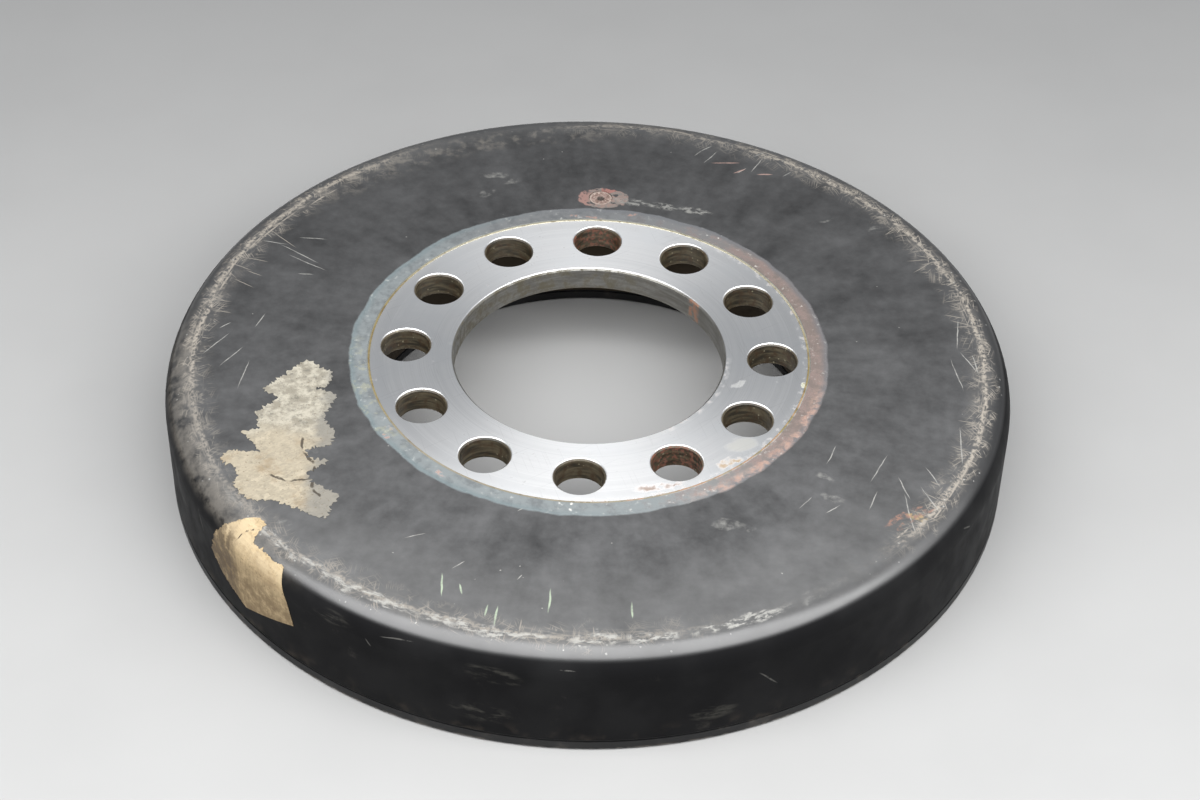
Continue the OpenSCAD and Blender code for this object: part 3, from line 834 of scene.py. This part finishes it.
def paper_piece(name, outline, place, material, node, spacing=1.8):
    """Thin sheet inside a torn outline; place() maps its flat points and lift onto the housing."""
    lowest = Vector((min(p.x for p in outline), min(p.y for p in outline)))
    highest = Vector((max(p.x for p in outline), max(p.y for p in outline)))
    edge_count = len(outline)
    points = list(outline)
    for row in range(int((highest.y - lowest.y) / spacing) + 1):
        for column in range(int((highest.x - lowest.x) / spacing) + 1):
            shift = spacing / 2 * (row % 2)
            at = lowest + Vector((column * spacing + shift, row * spacing))
            near = min((at - p).length for p in outline)
            if near > spacing * 0.5 and inside(at, outline):
                points.append(at)
    rim = [(k, (k + 1) % edge_count) for k in range(edge_count)]
    made = geometry.delaunay_2d_cdt(points, rim, [list(range(edge_count))], 1, 1e-5)
    mesh = bpy.data.meshes.new(name)
    corners = []
    for at in made[0]:
        near = min((at - p).length for p in outline)
        curl = max(0.0, 1 - near / 2.5) * (0.5 + noise.noise((at.x * 0.25, at.y * 0.25, 1)))
        ripple = noise.noise((at.x * 0.12, at.y * 0.12, 5))
        lift = PAPER_THICKNESS + 0.02 + 0.02 * ripple + 0.03 * curl
        corners.append(place(at, min(lift, HIGHEST_LIFT)))
    mesh.from_pydata(corners, [], [list(face) for face in made[2]])
    build = bmesh.new()
    build.from_mesh(mesh)
    loose = [vertex for vertex in build.verts if not vertex.link_faces]
    bmesh.ops.delete(build, geom=loose, context="VERTS")
    bmesh.ops.recalc_face_normals(build, faces=build.faces)
    outward = sum(face.normal.dot(face.calc_center_median()) for face in build.faces)
    if outward < 0:
        bmesh.ops.reverse_faces(build, faces=build.faces)
    build.to_mesh(mesh)
    build.free()
    piece = new_piece(name, mesh, material, "paper", node)
    solid = piece.modifiers.new("thickness", "SOLIDIFY")
    solid.thickness = PAPER_THICKNESS * MM
    solid.offset = -1
    return piece


# Torn shape of the wrapped label, as shares of the CAD patch across and downwards
LOWER_SHAPE = [
    (0.85, 0.2), (0.95, 0.5), (1.0, 0.75), (0.45, 1.0), (0.15, 0.85), (0.0, 0.7), (0.1, 0.4),
    (0.25, 0.15), (0.35, 0.0), (0.45, 0.0), (0.5, 0.2), (0.7, 0.2)]
LOWER_STRAIGHT = (0, 1, 2)


def top_outline(node):
    """Corners of a flat CAD sheet's top face, in order round its edge."""
    mesh = frame["nodes"][node].data
    ways = set()
    for face in mesh.polygons:
        if face.normal.z > 0.9:
            corners = [mesh.vertices[index].co / MM for index in face.vertices]
            corners = [(round(corner.x, 2), round(corner.y, 2)) for corner in corners]
            ways.update(zip(corners, corners[1:] + corners[:1]))
    after = dict(way for way in ways if way[::-1] not in ways)
    outline = [min(after)]
    while after[outline[-1]] != outline[0]:
        outline.append(after[outline[-1]])
    return outline


def wrapped_outline(node, shape):
    """Shape given as shares of the wrapped CAD patch, in millimetres along and over the edge."""
    points = [vertex.co / MM for vertex in frame["nodes"][node].data.vertices]
    angles = [math.atan2(point.y, point.x) % math.tau for point in points]
    first, last = min(angles) * HOUSING_R, max(angles) * HOUSING_R
    start = min(point.xy.length for point in points) - FLAT_R
    end = CORNER_R * math.pi / 2 + FRONT_Z - CORNER_R - low(node, 2)
    return [(first + across * (last - first), start + down * (end - start)) for across, down in shape]


def on_front(at, lift):
    return (at.x * MM, at.y * MM, (FRONT_Z + lift) * MM)


def over_corner(at, lift):
    """A point of the wrapped label: x is arc length at the wall, y the way over the edge."""
    angle = at.x / HOUSING_R
    quarter = CORNER_R * math.pi / 2
    tilt = min(max(at.y / CORNER_R, 0), math.pi / 2)
    radius = FLAT_R + min(at.y, 0) + (CORNER_R + lift) * math.sin(tilt)
    drop = max(at.y - quarter, 0)
    height = FRONT_Z - CORNER_R + (CORNER_R + lift) * math.cos(tilt) - drop
    return (radius * math.cos(angle) * MM, radius * math.sin(angle) * MM, height * MM)


def labels():
    middle = middle_of("upper_label")
    tears = crack(middle + Vector((5, 0)), -65, 5, 13) + crack(middle + Vector((-4, -20)), 5, 2, 14)
    upper_paper = paper("paper_upper", srgb(138, 130, 114), middle.y + 5, tears)
    upper = torn_outline(top_outline("upper_label"), (), reach=1.6)
    paper_piece("upper_label_torn", upper, on_front, upper_paper, "upper_label")
    tears = crack(middle_of("lower_label") + Vector((-8, 2)), -20, 4, 15)
    lower_paper = paper("paper_lower", srgb(152, 134, 104), None, tears)
    lower = torn_outline(wrapped_outline("lower_label", LOWER_SHAPE), LOWER_STRAIGHT)
    paper_piece("lower_label_torn", lower, over_corner, lower_paper, "lower_label", spacing=1.5)


PLUG_SEGMENTS = 96


def peened_plug(name, node, material, facing, seed):
    """Plug hammered into its hole: uneven raised rim, beaten face and a ragged centre punch."""
    box_low, box_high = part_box(node)
    centre = (box_low + box_high) / 2 / MM
    radius = (box_high.x - box_low.x) / 2 / MM
    outer_z = (box_high.z if facing > 0 else box_low.z) / MM
    inner_z = (box_low.z if facing > 0 else box_high.z) / MM
    profile = [
        (0.15, -1.25), (0.5, -1.1), (0.9, -0.75), (1.25, -0.35), (1.6, -0.12), (2.1, -0.06),
        (2.7, -0.1), (3.2, -0.12), (3.55, -0.04), (3.85, 0.0), (4.15, -0.02), (4.35, -0.14),
        (radius - 0.02, -0.4)]
    around = PLUG_SEGMENTS
    build = bmesh.new()
    rings = []
    for reach, height in profile:
        ring = []
        for k in range(around):
            angle = k * math.tau / around
            at = Vector((math.cos(angle), math.sin(angle)))
            lump = noise.noise((at.x * reach * 0.9 + seed, at.y * reach * 0.9, seed))
            fine = noise.noise((at.x * reach * 2.6, at.y * reach * 2.6 + seed, 4))
            wide = reach * (1 + 0.22 * noise.noise((at.x * 1.4, at.y * 1.4, seed)) * (reach < 2))
            drop = min(0, height + 0.07 * lump + 0.04 * fine - 0.02)
            ring.append(build.verts.new((
                (centre.x + at.x * wide) * MM, (centre.y + at.y * wide) * MM,
                (outer_z + facing * drop) * MM)))
        rings.append(ring)
    skirt = [build.verts.new((vertex.co.x, vertex.co.y, inner_z * MM)) for vertex in rings[-1]]
    rings.append(skirt)
    for first, second in zip(rings, rings[1:]):
        for k in range(around):
            after = (k + 1) % around
            build.faces.new((first[k], second[k], second[after], first[after]))
    build.faces.new(rings[0])
    build.faces.new(rings[-1])
    bmesh.ops.recalc_face_normals(build, faces=build.faces)
    for face in build.faces:
        face.smooth = len(face.verts) == 4
    mesh = bpy.data.meshes.new(name)
    build.to_mesh(mesh)
    build.free()
    return new_piece(name, mesh, material, "rusty_steel", node)


def finish_nodes():
    """Gives each CAD node that stays in view its material."""
    painted = black_paint()
    cover = cover_paint()
    pads = pad_polymer()
    finishes = {
        "mounting_flange": turned_steel(), "flange_weld": weld_gold(), "housing_channel": painted,
        "rear_cover": cover, "outer_cover_weld": cover, "inner_cover_weld": cover,
        "inertia_ring": ring_steel(), "bearing_band": bronze()}
    for name, node in frame["nodes"].items():
        if node.hide_render:
            continue
        material = finishes.get(name, pads)
        node.data.materials.clear()
        node.data.materials.append(material)


# ---------------------------------------------------------------- stage

CAMERA_LENS = 75.6
CAMERA_AT = (0.0264, -0.6856, 0.6126)
CAMERA_TARGET = (0.00506, -0.02475, 0.0404)
CAMERA_ROLL = 1.162
FLOOR_REACH = 4.0
FLOOR_DROP = 0.0002
WORLD_COLOUR = (0.93, 0.96, 1.0, 1)
WORLD_STRENGTH = 0.40


def floor():
    reach = FLOOR_REACH
    mesh = bpy.data.meshes.new("floor")
    corners = [(-reach, -reach, 0), (reach, -reach, 0), (reach, reach, 0), (-reach, reach, 0)]
    mesh.from_pydata(corners, [], [(0, 1, 2, 3)])
    plane = bpy.data.objects.new("floor", mesh)
    bpy.context.scene.collection.objects.link(plane)
    g = Graph("floor_pale", (0.28, 0.28, 0.278, 1), 0.85, specular=0.2)
    g.layer(g.cloud(60, 0.3, 0.8, detail=3), colour=(0.27, 0.27, 0.268, 1))
    mesh.materials.append(g.done())
    plane.location.z = -FLOOR_DROP


def area_light(name, place, target, width, height, power):
    light = bpy.data.lights.new(name, "AREA")
    light.shape = "RECTANGLE"
    light.size, light.size_y = width, height
    light.energy = power
    lamp = bpy.data.objects.new(name, light)
    bpy.context.scene.collection.objects.link(lamp)
    lamp.location = place
    lamp.rotation_euler = (Vector(target) - Vector(place)).to_track_quat("-Z", "Y").to_euler()


def studio():
    world = bpy.data.worlds.new("studio")
    world.use_nodes = True
    background = world.node_tree.nodes["Background"]
    background.inputs["Color"].default_value = WORLD_COLOUR
    background.inputs["Strength"].default_value = WORLD_STRENGTH
    bpy.context.scene.world = world
    area_light("overhead", (0.02, -0.42, 0.66), (0.02, -0.42, 0), 1.9, 0.68, 28)
    area_light("side", (1.15, 0.05, 0.80), (0.1, 0, 0), 0.8, 0.7, 4.5)
    bpy.context.scene.view_settings.view_transform = "Standard"


def camera():
    lens = bpy.data.cameras.new("camera")
    lens.lens = CAMERA_LENS
    lens.sensor_width = 36
    lens.clip_start = 0.01
    eye = bpy.data.objects.new("camera", lens)
    bpy.context.scene.collection.objects.link(eye)
    look = (Vector(CAMERA_TARGET) - Vector(CAMERA_AT)).to_track_quat("-Z", "Y").to_matrix()
    roll = Matrix.Rotation(math.radians(CAMERA_ROLL), 3, "Z")
    eye.location = CAMERA_AT
    eye.rotation_euler = (look @ roll).to_euler()
    bpy.context.scene.camera = eye


labels()
plug_steel = rusty_steel()
peened_plug("fill_plug_peened", "fill_plug", plug_steel, 1, 2.0)
peened_plug("vent_plug_peened", "vent_plug", plug_steel, -1, 7.0)
finish_nodes()
floor()
studio()
camera()
